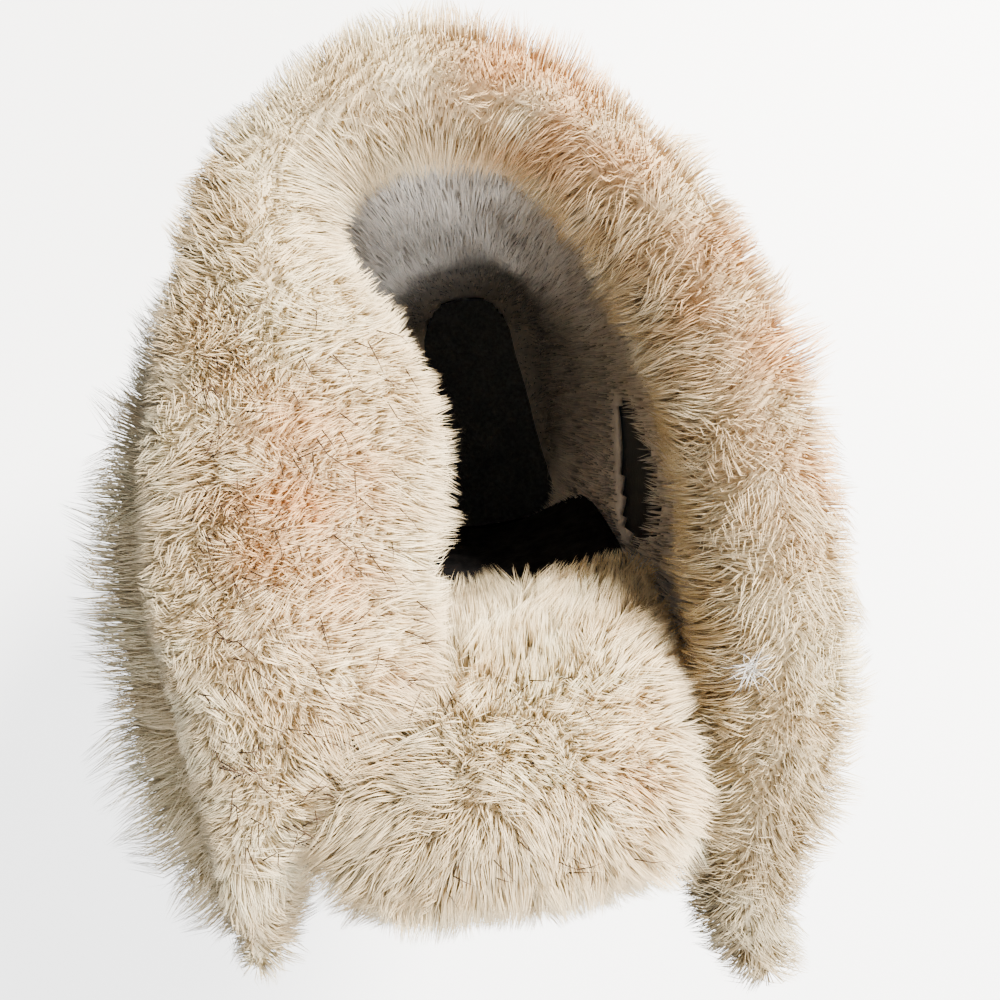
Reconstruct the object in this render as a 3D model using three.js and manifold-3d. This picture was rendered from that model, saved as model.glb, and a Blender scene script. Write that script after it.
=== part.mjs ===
// A mid-calf snow boot for the left foot, in millimetres.
// +Z is up, the toe points to -Y and the outer side of the foot is +X.
// The origin is on the floor, under the middle of the heel.

import * as THREE from "three";
import { mergeVertices } from "three/addons/utils/BufferGeometryUtils.js";
import Module from "manifold-3d";

const wasm = await Module();
wasm.setup();

// Driving dimensions of the sole
const HEEL_BACK_Y = 46; // rear end of the outsole
const TOE_TIP_Y = -232; // front end of the outsole
const HEEL_ROUND_FROM = 8; // behind this the heel is rounded
const TOE_ROUND_FROM = -178; // in front of this the toe is rounded
const TOE_ROUNDNESS = 2.3; // superellipse power of the toe
const TOE_SPRING = 11; // lift of the tread at the toe tip
const SPRING_FROM = -168; // the tread leaves the floor in front of this
const HEEL_BEVEL = 4; // lift of the tread at the rear end
const BEVEL_FROM = 28; // the heel bevel starts behind this
const CUP_HEIGHT = 9; // the sole's rim above the feather line
const SOLE_STEPS = 24; // stations along the sole

// Driving dimensions of the upper
const WALL = 2.5; // suede with its backing
const SEAT_GAP = 0.3; // clearance between pieces that touch
const LAST_LENGTH_SHARE = 0.962; // the last's bottom outline inside the outsole's
const LAST_WIDTH_SHARE = 0.9;
const LASTING_MARGIN = 9; // how far the upper is turned in under the insole
const RING_POINTS = 28; // points round a section of the upper
const ROW_STEPS = 2; // sections for each row of the last's table
const THROAT_BOTTOM_Z = 152; // lowest point of the front opening
const THROAT_HALF_BOTTOM = 5;
const THROAT_HALF_TOP = 50; // at the rim
const THROAT_CUT_Y = [-50, -250]; // the throat is cut through the front between these
const CUT_ABOVE = 60; // how far a cut runs past the rim
const RIM_Z = 262;
const TOE_SECTIONS = 4; // the last's first sections, where the wall's thickness also lies along the foot

// Driving dimensions of the insole, the cuff and the tongue
const INSOLE_THICK = 4;
const CUFF_STEPS = 52; // stations round the cuff
const CUFF_LOOP = 20; // points round a section of the cuff
const CUFF_ROW_DROP = 52; // height of one row of the last's table at the shaft
const CUFF_LINED = 28; // how far the cuff reaches down inside the shaft
const CUFF_LOCK = 10; // length of a fur lock on the cuff
const TONGUE_STEPS = 18; // stations along the tongue
const TONGUE_LOOP = 18; // points round a section of the tongue
const TONGUE_LOCK = 8; // length of a fur lock on the tongue
const TONGUE_BARE = 0.45; // share of the tongue's length, from its root, that has no locks

// A table's rows as objects with the named columns.
function table(columns, rows) {
  return rows.map((row) => Object.fromEntries(columns.map((name, k) => [name, row[k]])));
}

// Plan of the outsole from heel to toe: its centre line and half width
const SOLE_PLAN = table(
  ["y", "centre", "half"],
  [
    [46, 0, 36],
    [8, 0, 37],
    [-30, 1.5, 36.5],
    [-70, 5, 38.5],
    [-110, 6, 44],
    [-150, 3, 50.5],
    [-185, -2, 49.5],
    [-232, -10, 43],
  ],
);

// Height of the feather line, where the upper meets the sole
const FEATHER = table(
  ["y", "z"],
  [
    [46, 35],
    [-15, 34],
    [-75, 26],
    [-135, 21],
    [-180, 22],
    [-232, 30],
  ],
);

// Side of the outsole from the tread up: share of the height, and step out or in
const SOLE_SIDE = table(
  ["height", "out"],
  [
    [0, -2.5],
    [0.1, 0],
    [0.36, 0.3],
    [0.4, -1.8],
    [0.48, -1.8],
    [0.52, 0.8],
    [0.7, 0.8],
    [0.74, -1],
    [0.8, -1],
    [0.84, 0],
    [1, -0.8],
  ],
);

// Sections of the last, from the toe round the heel and up the shaft. A section is a plane from a
// point on the sole or back line to a point on the vamp or front line. widest is where along it the
// section is widest, and lowSquare and topSquare are the superellipse powers of its two halves. The
// foot's sections start on the sole's outline. bulge is how far they stand out past it higher up.
const FOOT_SECTIONS = table(
  ["name", "backY", "frontY", "frontZ", "bulge", "widest", "lowSquare", "topSquare"],
  [
    ["toe_tip", -226, -226, 52, 0, 0.45, 4, 2],
    ["toe", -221, -220, 63, 0, 0.4, 5, 2],
    ["toe_cap", -208, -205, 73, 0, 0.36, 7, 2.2],
    ["vamp", -182, -176, 80, 0, 0.34, 8, 2.3],
    ["ball", -150, -140, 91, 0, 0.36, 8, 2.3],
    ["waist", -112, -110, 110, 1, 0.42, 7, 2.4],
    ["instep", -72, -97, 129, 3, 0.48, 5.5, 2.5],
    ["heel_front", -32, -90, 146, 4.5, 0.5, 4.5, 2.5],
    ["heel", 6, -87, 158, 4.5, 0.5, 3.4, 2.5],
  ],
);
const SHAFT_SECTIONS = table(
  ["name", "backY", "backZ", "frontY", "frontZ", "half", "widest", "lowSquare", "topSquare"],
  [
    ["heel_corner", 32, 36, -87, 169, 39, 0.5, 2.4, 2.4],
    ["heel_curve", 42, 66, -89, 180, 42, 0.5, 2.1, 2.3],
    ["ankle", 39, 108, -93, 192, 47, 0.5, 2.1, 2.2],
    ["shaft", 37, 158, -104, 208, 54, 0.5, 2.1, 2.1],
    ["calf", 38, 208, -124, 230, 62, 0.55, 2.05, 2.1],
    ["rim", 41, RIM_Z, -158, RIM_Z, 71, 0.6, 2, 2.2],
  ],
);

// The cuff round the rim, from the outer front end by the back to the inner front end. turn is the
// angle round the rim from the back, outer side positive. The roll lies over the rim, the crease is
// under it, and the skirt hangs outside. The front ends reach forward and aside past the edges of
// the throat, and sink.
const CUFF = table(
  ["turn", "rollIn", "rollUp", "rollOut", "crease", "skirt", "drop", "forward", "aside", "sink"],
  [
    [142, 8, 5, 8, 8, 10, 44, 34, 6, 10],
    [128, 14, 9, 9, 9, 12, 52, 12, 2, 3],
    [80, 16, 11, 8, 6, 10, 58, 0, 0, 0],
    [35, 10, 10, 6, 4, 8, 60, 0, 0, 0],
    [-5, 9, 10, 9, 6, 11, 60, 0, 0, 0],
    [-33, 12, 11, 8, 6, 13, 60, 0, 0, 0],
    [-52, 44, 13, 5, 5, 18, 62, 0, 0, 0],
    [-80, 54, 15, 3, 4, 34, 62, 0, 0, 0],
    [-108, 46, 15, 2, 4, 43, 60, 0, 0, 0],
    [-128, 20, 11, 2, 4, 42, 56, 8, 12, 5],
    [-142, 5, 4, 4, 5, 30, 50, 20, 26, 16],
  ],
);

// The tongue from its root inside the throat to its free edge: the path of its middle, half width,
// thickness, sideways centre, and how far its side edges bow back.
const TONGUE = table(
  ["y", "z", "half", "thick", "centre", "bow"],
  [
    [-80, 118, 22, 9, 0, 6],
    [-78, 144, 29, 10, 0, 10],
    [-77, 170, 34, 11, 0, 12],
    [-84, 196, 37, 14, 0, 12],
    [-95, 220, 39, 19, 0, 11],
    [-106, 240, 40, 26, -2, 8],
    [-117, 254, 40, 31, -3, 6],
    [-128, 260, 40, 32, -4, 4],
    [-139, 254, 36, 26, -4, 3],
    [-147, 242, 27, 16, -4, 2],
  ],
);

// Grooves of the tread, heel to toe: each is a chevron across the sole, given by where its middle
// is, its width and how far its arms slant, in degrees
const GROOVE_DEPTH = 7;
const GROOVE_ARM = 70; // longer than half the sole's width
const GROOVE_CROSSING = 2; // how far the two arms of a chevron pass its middle
const GROOVES = table(
  ["y", "wide", "slant"],
  [
    [25, 6, 0],
    [-16, 6, 0],
    [-96, 7, 14],
    [-117, 7, 14],
    [-138, 7, 14],
    [-159, 7, 14],
    [-180, 7, 14],
    [-201, 6, 14],
  ],
);
const CHANNELS_X = [-20, 22]; // the two long channels of the forefoot
const CHANNEL_WIDE = 5.5;
const CHANNEL_FRONT_Y = -200;
const CHANNEL_BACK_Y = -80;
const ARCH_FRONT_Y = -80;
const ARCH_BACK_Y = -34;
const ARCH_LIFT = 10; // height of the arch above the floor
const ARCH_REACH = 140; // wider than the sole

// Finishes
const FINISH = {
  rubber: { color: 0x1b1b1c, roughness: 0.75 },
  suede: { color: 0x232120, roughness: 0.95 },
  footbed: { color: 0x17181a, roughness: 0.85 },
  fur: { color: 0xd9c9b0, roughness: 0.95 },
};

const clamp = THREE.MathUtils.clamp;
const lerp = THREE.MathUtils.lerp;

// The value of one column at a place given in row numbers, smooth through the rows (Catmull-Rom).
function atPlace(rows, column, place) {
  const last = rows.length - 1;
  const row = clamp(Math.floor(place), 0, last - 1);
  const value = (k) => rows[clamp(k, 0, last)][column];
  const [a, b, c, d] = [value(row - 1), value(row), value(row + 1), value(row + 2)];
  const f = place - row;
  return b + (f / 2) * (c - a + f * (2 * a - 5 * b + 4 * c - d + f * (3 * (b - c) + d - a)));
}

// The place in row numbers where a column has a value. The column rises or falls all the way.
function placeOf(rows, column, value) {
  const falling = rows[0][column] > rows[1][column] ? -1 : 1;
  const last = rows.length - 2;
  const row = rows.findIndex((r, k) => k === last || falling * (value - rows[k + 1][column]) <= 0);
  return row + (value - rows[row][column]) / (rows[row + 1][column] - rows[row][column]);
}

const atY = (rows, column, y) => atPlace(rows, column, placeOf(rows, "y", y));

// Deterministic value from 0 to 1 for a pair of numbers, used to vary the locks.
function scatter(a, b) {
  const s = Math.sin(a * 12.9898 + b * 78.233) * 43758.5453;
  return s - Math.floor(s);
}

// Each second point of a furry face is the tip of a lock, and the locks vary in length.
const LOCK_RISE = 0.6; // share of a lock's length that stands off the face
const LOCK_LEAN = 0.6; // share that lies along it
const isLock = (point, ring) => (point + ring) % 2 === 0;
const lockLength = (length, ring, point) => length * (0.6 + 0.6 * scatter(ring, point));

// The outsole's plan and heights along the foot

function soleHalf(y) {
  const heel = clamp((y - HEEL_ROUND_FROM) / (HEEL_BACK_Y - HEEL_ROUND_FROM), 0, 1);
  const toe = clamp((TOE_ROUND_FROM - y) / (TOE_ROUND_FROM - TOE_TIP_Y), 0, 1);
  const heelRound = Math.sqrt(1 - heel ** 2);
  const toeRound = (1 - toe ** TOE_ROUNDNESS) ** (1 / TOE_ROUNDNESS);
  return atY(SOLE_PLAN, "half", y) * heelRound * toeRound;
}

const soleCentre = (y) => atY(SOLE_PLAN, "centre", y);
const featherZ = (y) => atY(FEATHER, "z", y);

function treadZ(y) {
  const toe = Math.max(0, (SPRING_FROM - y) / (SPRING_FROM - TOE_TIP_Y));
  const heel = Math.max(0, (y - BEVEL_FROM) / (HEEL_BACK_Y - BEVEL_FROM));
  return TOE_SPRING * toe ** 2 + HEEL_BEVEL * heel ** 2;
}

// The last's bottom outline is the outsole's, drawn in by the rand.
const MID_SOLE_Y = (HEEL_BACK_Y + TOE_TIP_Y) / 2;
const lastHalf = (y) => LAST_WIDTH_SHARE * soleHalf(MID_SOLE_Y + (y - MID_SOLE_Y) / LAST_LENGTH_SHARE);

function footSection(row) {
  const { backY, bulge } = row;
  return { ...row, backZ: featherZ(backY), centre: soleCentre(backY), half: lastHalf(backY) + bulge };
}

const LAST = [...FOOT_SECTIONS.map(footSection), ...SHAFT_SECTIONS.map((row) => ({ ...row, centre: 0 }))];
const RIM_PLACE = LAST.length - 1;
const SHAFT_MIDDLE_Y = (LAST[RIM_PLACE].backY + LAST[RIM_PLACE].frontY) / 2;

// Closed solids from rings of points

function solidFrom(points, triangles) {
  const mesh = new wasm.Mesh({
    numProp: 3,
    vertProperties: new Float32Array(points.flatMap((p) => [p.x, p.y, p.z])),
    triVerts: new Uint32Array(triangles.flat()),
  });
  return new wasm.Manifold(mesh);
}

// A closed solid through rings with equal numbers of points. Each end is closed by a ladder across
// its ring, between point k and the point as far round the other way. With locks, the faces fold so
// that each second point is a peak.
function loft(rings, locks = false) {
  const n = rings[0].length;
  const triangles = [];
  for (let j = 0; j + 1 < rings.length; j++) {
    for (let i = 0; i < n; i++) {
      const next = (i + 1) % n;
      const [a, b, c, d] = [j * n + i, j * n + next, (j + 1) * n + next, (j + 1) * n + i];
      if (locks && isLock(i, j)) triangles.push([a, b, d], [b, c, d]);
      else triangles.push([a, b, c], [a, c, d]);
    }
  }
  const close = (first, flip) => {
    const face = (...k) => triangles.push((flip ? k.reverse() : k).map((i) => first + (i % n)));
    face(0, n - 1, 1);
    for (let k = 1; k + 1 < n / 2; k++) {
      face(k, n - k, n - k - 1);
      face(k, n - k - 1, k + 1);
    }
    face(n / 2 - 1, n / 2 + 1, n / 2);
  };
  close(0, false);
  close((rings.length - 1) * n, true);
  const made = solidFrom(rings.flat(), triangles);
  if (made.volume() > 0) return made;
  return solidFrom(rings.flat(), triangles.map(([a, b, c]) => [a, c, b]));
}

// A three.js geometry as a solid.
function solidOfGeometry(geometry) {
  const bare = geometry.clone().deleteAttribute("normal").deleteAttribute("uv");
  const merged = mergeVertices(bare, 1e-4);
  const mesh = new wasm.Mesh({
    numProp: 3,
    vertProperties: merged.attributes.position.array,
    triVerts: new Uint32Array(merged.index.array),
  });
  return new wasm.Manifold(mesh);
}

// The largest body of a solid, without the slivers that a cut leaves.
function mainBody(solid) {
  return solid.decompose().reduce((a, b) => (a.volume() > b.volume() ? a : b));
}

function geometryOf(solid) {
  const mesh = solid.getMesh();
  const geometry = new THREE.BufferGeometry();
  geometry.setAttribute("position", new THREE.BufferAttribute(new Float32Array(mesh.vertProperties), 3));
  geometry.setIndex(new THREE.BufferAttribute(new Uint32Array(mesh.triVerts), 1));
  return geometry;
}

// A ring round the sole's plan: down the outer side from heel to toe and back up the inner side.
// share draws it in, out steps it along its normal, and height gives z for each y.
function planRing(widthShare, lengthShare, out, height) {
  const ys = Array.from({ length: SOLE_STEPS + 1 }, (_, k) => {
    const along = (1 - Math.cos((Math.PI * k) / SOLE_STEPS)) / 2;
    return lerp(HEEL_BACK_Y, TOE_TIP_Y, along);
  });
  const outer = ys.map((y) => [soleCentre(y) + widthShare * soleHalf(y), y]);
  const inner = ys.map((y) => [soleCentre(y) - widthShare * soleHalf(y), y]);
  const plan = [...outer, ...inner.slice(1, -1).reverse()];
  return plan.map(([x, y], i) => {
    const [ax, ay] = plan[(i + plan.length - 1) % plan.length];
    const [bx, by] = plan[(i + 1) % plan.length];
    const length = Math.hypot(bx - ax, by - ay);
    const sunkY = MID_SOLE_Y + (y - MID_SOLE_Y) * lengthShare;
    const px = x - (out * (by - ay)) / length;
    const py = sunkY + (out * (bx - ax)) / length;
    return new THREE.Vector3(px, py, height(sunkY));
  });
}

// The upper

// One section of the last, grown outwards by grow. A negative grow gives the inside of the wall.
function lastSection(place, grow) {
  const [backY, backZ, frontY, frontZ, centre, half, widest, lowSquare, topSquare] = [
    "backY", "backZ", "frontY", "frontZ", "centre", "half", "widest", "lowSquare", "topSquare",
  ].map((column) => atPlace(LAST, column, place));
  const toeShift = -grow * clamp(1 - place / TOE_SECTIONS, 0, 1);
  const back = new THREE.Vector3(centre, backY + toeShift, backZ);
  const front = new THREE.Vector3(centre, frontY + toeShift, frontZ);
  const rise = front.clone().sub(back).normalize();
  back.addScaledVector(rise, -grow);
  front.addScaledVector(rise, grow);
  return Array.from({ length: RING_POINTS }, (_, i) => {
    const turn = (2 * Math.PI * i) / RING_POINTS;
    const power = 2 / (Math.cos(turn) > 0 ? lowSquare : topSquare);
    const reach = Math.abs(Math.cos(turn)) ** power;
    const along = Math.cos(turn) > 0 ? widest * (1 - reach) : widest + (1 - widest) * reach;
    const side = Math.sign(Math.sin(turn)) * Math.abs(Math.sin(turn)) ** power;
    return back.clone().lerp(front, along).add(new THREE.Vector3(side * (half + grow), 0, 0));
  });
}

// The last as a closed form, carried rise above the rim.
function lastForm(grow, rise) {
  const count = RIM_PLACE * ROW_STEPS + 1;
  const rings = Array.from({ length: count }, (_, k) => lastSection(k / ROW_STEPS, grow));
  if (rise > 0) rings.push(rings.at(-1).map((p) => p.clone().setZ(p.z + rise)));
  return loft(rings);
}

// The throat is a tall V with a round foot, cut through the front of the shaft. grow widens it.
function throatForm(grow) {
  const [startY, endY] = THROAT_CUT_Y;
  const height = RIM_Z + CUT_ABOVE - THROAT_BOTTOM_Z;
  const slope = (THROAT_HALF_TOP - THROAT_HALF_BOTTOM) / (RIM_Z - THROAT_BOTTOM_Z);
  const foot = THROAT_HALF_BOTTOM + grow;
  const top = foot + slope * height;
  const shape = new THREE.Shape();
  shape.moveTo(top, THROAT_BOTTOM_Z + height);
  shape.lineTo(-top, THROAT_BOTTOM_Z + height);
  shape.lineTo(-foot, THROAT_BOTTOM_Z);
  shape.absarc(0, THROAT_BOTTOM_Z, foot, Math.PI, 2 * Math.PI, false);
  const depth = startY - endY;
  const geometry = new THREE.ExtrudeGeometry(shape, { depth, bevelEnabled: false, curveSegments: 8 });
  geometry.rotateX(Math.PI / 2); // the extrusion then runs towards -Y
  geometry.translate(0, startY, 0);
  return solidOfGeometry(geometry);
}

// The hole in the bottom of the upper, inside the lasting margin.
function bottomHole() {
  const out = -WALL - LASTING_MARGIN;
  const low = planRing(LAST_WIDTH_SHARE, LAST_LENGTH_SHARE, out, () => 0);
  const high = planRing(LAST_WIDTH_SHARE, LAST_LENGTH_SHARE, out, (y) => featherZ(y) + 2 * WALL);
  return loft([low, high]);
}

// The wall of the upper, thickened by grow on all sides.
function wallForm(grow) {
  const outside = lastForm(grow, grow);
  const inside = lastForm(-WALL - grow, CUT_ABOVE);
  return outside.subtract(inside).subtract(throatForm(-grow));
}

const upper = wallForm(0).subtract(bottomHole());

// The outsole

// A box whose middle is at x, y, z. arm first carries it aside, and slant then turns it, as an arm
// of a chevron.
function boxAt([wide, long, high], [x, y, z], arm = 0, slant = 0) {
  const geometry = new THREE.BoxGeometry(wide, long, high);
  geometry.translate(arm, 0, 0);
  geometry.rotateZ(THREE.MathUtils.degToRad(slant));
  geometry.translate(x, y, z);
  return solidOfGeometry(geometry);
}

function makeOutsole() {
  const rimZ = (y) => featherZ(y) + CUP_HEIGHT;
  const sideZ = (height) => (y) => lerp(treadZ(y), rimZ(y), height);
  const rings = SOLE_SIDE.map(({ height, out }) => planRing(1, 1, out, sideZ(height)));
  let sole = loft(rings).subtract(lastForm(SEAT_GAP, 0));
  for (const { y, wide, slant } of GROOVES) {
    for (const side of [-1, 1]) {
      const arm = side * (GROOVE_ARM / 2 - GROOVE_CROSSING);
      const size = [GROOVE_ARM, wide, 2 * GROOVE_DEPTH];
      sole = sole.subtract(boxAt(size, [0, y, treadZ(y)], arm, side * slant));
    }
  }
  const channel = [CHANNEL_WIDE, CHANNEL_BACK_Y - CHANNEL_FRONT_Y, 2 * GROOVE_DEPTH];
  for (const x of CHANNELS_X) {
    sole = sole.subtract(boxAt(channel, [x, (CHANNEL_BACK_Y + CHANNEL_FRONT_Y) / 2, 0]));
  }
  const arch = [ARCH_REACH, ARCH_BACK_Y - ARCH_FRONT_Y, 2 * ARCH_LIFT];
  return sole.subtract(boxAt(arch, [0, (ARCH_BACK_Y + ARCH_FRONT_Y) / 2, 0]));
}

// The insole lies on the lasting margin and is cut to the inside of the last.
function makeInsole() {
  const base = WALL + SEAT_GAP;
  const low = planRing(1, 1, 0, (y) => featherZ(y) + base);
  const high = planRing(1, 1, 0, (y) => featherZ(y) + base + INSOLE_THICK);
  return loft([low, high]).intersect(lastForm(-WALL - SEAT_GAP, 0));
}

// The cuff

// A point at a drop below the rim and a distance out from the face of the shaft. Above the rim it is
// straight up.
function shaftPoint(turn, drop, out) {
  const index = (turn / 360) * RING_POINTS;
  const onRing = (ring, k) => {
    const low = Math.floor(k);
    const n = ring.length;
    return ring[((low % n) + n) % n].clone().lerp(ring[(((low + 1) % n) + n) % n], k - low);
  };
  const ring = lastSection(RIM_PLACE - Math.max(0, drop) / CUFF_ROW_DROP, 0);
  const rim = lastSection(RIM_PLACE, 0);
  const along = onRing(rim, index + 1).sub(onRing(rim, index - 1)).setZ(0).normalize();
  const outward = new THREE.Vector3(along.y, -along.x, 0);
  const fromMiddle = onRing(rim, index).setZ(0).sub(new THREE.Vector3(0, SHAFT_MIDDLE_Y, 0));
  if (outward.dot(fromMiddle) < 0) outward.negate();
  const point = onRing(ring, index).addScaledVector(outward, out);
  if (drop < 0) point.z -= drop;
  return point;
}

// One section of the cuff: up the skirt, over the roll and down inside. out is from the outer face
// of the shaft.
function cuffSection({ rollIn, rollUp, rollOut, crease, skirt, drop }) {
  const profile = [
    [drop - 4, 2],
    [drop, 0.6 * skirt],
    [0.74 * drop, skirt],
    [0.5 * drop, 0.6 * skirt + 0.4 * crease],
    [0.3 * drop, crease],
    [5, rollOut],
    [-0.7 * rollUp, 0.7 * rollOut],
    [-rollUp, -0.2 * rollIn],
    [-0.9 * rollUp, -0.6 * rollIn],
    [-0.1 * rollUp, -WALL - rollIn],
    [12, -WALL - 0.9 * rollIn],
    [22, -WALL - 0.5 * rollIn],
    [CUFF_LINED, -WALL - 2],
  ];
  const curve = new THREE.CatmullRomCurve3(profile.map(([d, o]) => new THREE.Vector3(o, -d, 0)), true);
  return Array.from({ length: CUFF_LOOP }, (_, k) => curve.getPoint(k / CUFF_LOOP));
}

// The fur cuff with its locks, which are drawn out of the outer face and the roll and hang. shift
// moves the whole form, to leave a clearance beside it.
function cuffForm(shift = [0, 0, 0]) {
  const moved = new THREE.Vector3(...shift);
  const columns = Object.keys(CUFF[0]);
  const furryPoints = 11; // the points of a section that lie outside and on the roll
  const hang = { below: 0.7, above: 0.15 }; // share of a lock's length, below and above the rim
  const rings = Array.from({ length: CUFF_STEPS + 1 }, (_, i) => {
    const place = ((CUFF.length - 1) * i) / CUFF_STEPS;
    const at = Object.fromEntries(columns.map((column) => [column, atPlace(CUFF, column, place)]));
    const reach = new THREE.Vector3(Math.sign(at.turn) * at.aside, -at.forward, -at.sink);
    const section = cuffSection(at);
    const middle = section.reduce((sum, p) => sum.add(p), new THREE.Vector3()).divideScalar(section.length);
    const inner = i > 0 && i < CUFF_STEPS;
    return section.map((p, k) => {
      const away = p.clone().sub(middle).normalize();
      const furry = inner && k >= 1 && k <= furryPoints && isLock(k, i);
      const length = furry ? lockLength(CUFF_LOCK, i, k) : 0;
      const out = p.x + away.x * length;
      const drop = -p.y - LOCK_RISE * away.y * length + (p.y < 0 ? hang.below : hang.above) * length;
      return shaftPoint(at.turn, drop, out).add(reach).add(moved);
    });
  });
  return loft(rings, true);
}

// The tongue

// A padded sheet swept along its path, with locks on its upper face and edges near the free end.
function tongueForm() {
  const flatness = 0.7; // power that flattens the two faces of a section
  const step = 0.05; // in rows, for the direction of the path
  const rings = Array.from({ length: TONGUE_STEPS + 1 }, (_, i) => {
    const place = ((TONGUE.length - 1) * i) / TONGUE_STEPS;
    const value = (column, p = place) => atPlace(TONGUE, column, p);
    const change = (column) => value(column, place + step) - value(column, place - step);
    const along = new THREE.Vector3(0, change("y"), change("z")).normalize();
    const face = new THREE.Vector3(0, along.z, -along.y); // towards the leg
    const inner = i / TONGUE_STEPS > TONGUE_BARE && i < TONGUE_STEPS;
    return Array.from({ length: TONGUE_LOOP }, (_, k) => {
      const turn = (2 * Math.PI * k) / TONGUE_LOOP;
      const side = Math.sin(turn);
      const flat = Math.sign(Math.cos(turn)) * Math.abs(Math.cos(turn)) ** flatness;
      const furry = inner && Math.cos(turn) > -0.3 && isLock(k, i);
      const length = furry ? lockLength(TONGUE_LOCK, i, k) : 0;
      const point = new THREE.Vector3(value("centre"), value("y"), value("z"));
      point.x += side * (value("half") + 0.5 * length);
      const rise = flat * (value("thick") / 2 + LOCK_RISE * length);
      point.addScaledVector(face, rise + value("bow") * side ** 2);
      return point.addScaledVector(along, LOCK_LEAN * length);
    });
  });
  return loft(rings, true);
}

// The boot

const cuff = mainBody(cuffForm().subtract(wallForm(SEAT_GAP)));

// The tongue is cut clear of the wall and of the cuff, on each side that faces it.
const CUFF_CLEARANCE = [
  [SEAT_GAP, 0, 0],
  [-SEAT_GAP, 0, 0],
  [0, SEAT_GAP, 0],
  [0, -SEAT_GAP, 0],
  [0, 0, SEAT_GAP],
];
const tongueInThroat = tongueForm().subtract(wallForm(SEAT_GAP));
const cutByCuff = (rest, shift) => rest.subtract(cuffForm(shift));
const tongue = mainBody(CUFF_CLEARANCE.reduce(cutByCuff, tongueInThroat));

const boot = new THREE.Group();

function addPiece(name, solid, finish) {
  const material = new THREE.MeshStandardMaterial({ metalness: 0, ...FINISH[finish] });
  const mesh = new THREE.Mesh(geometryOf(solid), material);
  mesh.name = name;
  boot.add(mesh);
}

addPiece("outsole", makeOutsole(), "rubber");
addPiece("upper", upper, "suede");
addPiece("insole", makeInsole(), "footbed");
addPiece("cuff", cuff, "fur");
addPiece("tongue", tongue, "fur");

export default boot;
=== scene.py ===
"""A mid-calf snow boot for the left foot: dark suede on a lugged rubber cup sole, with a deep cream fur
cuff and a fur tongue. Sizes are in millimetres in the part's own frame, and MM turns them into metres."""

import math

import bmesh
import bpy
import numpy as np
from mathutils import Matrix, Vector


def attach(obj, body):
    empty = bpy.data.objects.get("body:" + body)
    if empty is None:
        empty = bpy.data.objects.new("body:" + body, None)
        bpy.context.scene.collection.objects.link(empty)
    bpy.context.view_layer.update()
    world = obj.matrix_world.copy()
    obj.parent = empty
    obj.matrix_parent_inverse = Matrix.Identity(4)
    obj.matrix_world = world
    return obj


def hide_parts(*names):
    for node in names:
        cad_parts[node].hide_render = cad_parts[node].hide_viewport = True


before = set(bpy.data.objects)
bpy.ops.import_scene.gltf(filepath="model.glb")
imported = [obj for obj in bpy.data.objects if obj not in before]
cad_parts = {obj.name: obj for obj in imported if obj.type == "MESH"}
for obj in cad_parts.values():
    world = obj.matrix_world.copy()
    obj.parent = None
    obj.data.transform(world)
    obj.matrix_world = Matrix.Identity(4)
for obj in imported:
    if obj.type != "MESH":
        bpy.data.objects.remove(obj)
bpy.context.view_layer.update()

# The view is a close look almost straight down into the mouth, with the heel up and the foot turned a
# little to the right. The floor is plain and pale, and the light is large and soft, from the upper right.
MM = 0.001
CAMERA_AT = (5.4, -44.8, 454.0)
CAMERA_AIM = (5.1, -56.0, 265.0)
CAMERA_ROLL = math.radians(8)
FOCAL_SHARE = 0.826  # focal length as a share of the picture's side
SENSOR = 36.0
LIGHTS = (  # name, place, aim, side, watts, colour
    ("key", (620, 400, 860), (0, -60, 240), 320, 74.0, (1.0, 0.95, 0.87)),
    ("fill", (220, -700, 900), (-10, 20, 200), 500, 17.0, (0.96, 0.97, 1.0)),
)
SKY = (0.95, 0.97, 1.0)
SKY_STRENGTH = 0.36
FLOOR_SIDE = 6000.0
FLOOR_COLOUR = (0.97, 0.97, 0.96)
FLOOR_GLOW = 2.4


def place_looking(thing, at, aim, up):
    """Puts a camera or light at a point so that it looks at another, with up to the top."""
    at, aim = Vector(at) * MM, Vector(aim) * MM
    forward = (aim - at).normalized()
    side = forward.cross(Vector(up)).normalized()
    turn = Matrix((side, side.cross(forward), -forward)).transposed()
    thing.matrix_world = Matrix.Translation(at) @ turn.to_4x4()
    bpy.context.scene.collection.objects.link(thing)


camera = bpy.data.objects.new("camera", bpy.data.cameras.new("camera"))
camera.data.sensor_width = SENSOR
camera.data.lens = SENSOR * FOCAL_SHARE
camera.data.clip_start = 0.01
place_looking(camera, CAMERA_AT, CAMERA_AIM, (math.sin(CAMERA_ROLL), math.cos(CAMERA_ROLL), 0))
bpy.context.scene.camera = camera

for name, at, aim, side, watts, colour in LIGHTS:
    lamp = bpy.data.lights.new(name, "AREA")
    lamp.shape, lamp.size = "DISK", side * MM
    lamp.energy, lamp.color = watts, colour
    place_looking(bpy.data.objects.new(name, lamp), at, aim, (0, 1, 0))

world = bpy.data.worlds.new("soft_room")
world.use_nodes = True
world.node_tree.nodes["Background"].inputs["Color"].default_value = (*SKY, 1)
world.node_tree.nodes["Background"].inputs["Strength"].default_value = SKY_STRENGTH
bpy.context.scene.world = world


def new_finish(name, roughness, specular=0.3):
    """A material with one Principled shader, whose even values are set on its own sockets."""
    made = bpy.data.materials.new(name)
    made.use_nodes = True
    shader = made.node_tree.nodes["Principled BSDF"]
    shader.inputs["Roughness"].default_value = roughness
    shader.inputs["Specular IOR Level"].default_value = specular
    return made


def shader_of(finish):
    """The Principled shader of a finish."""
    return finish.node_tree.nodes["Principled BSDF"]


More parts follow.
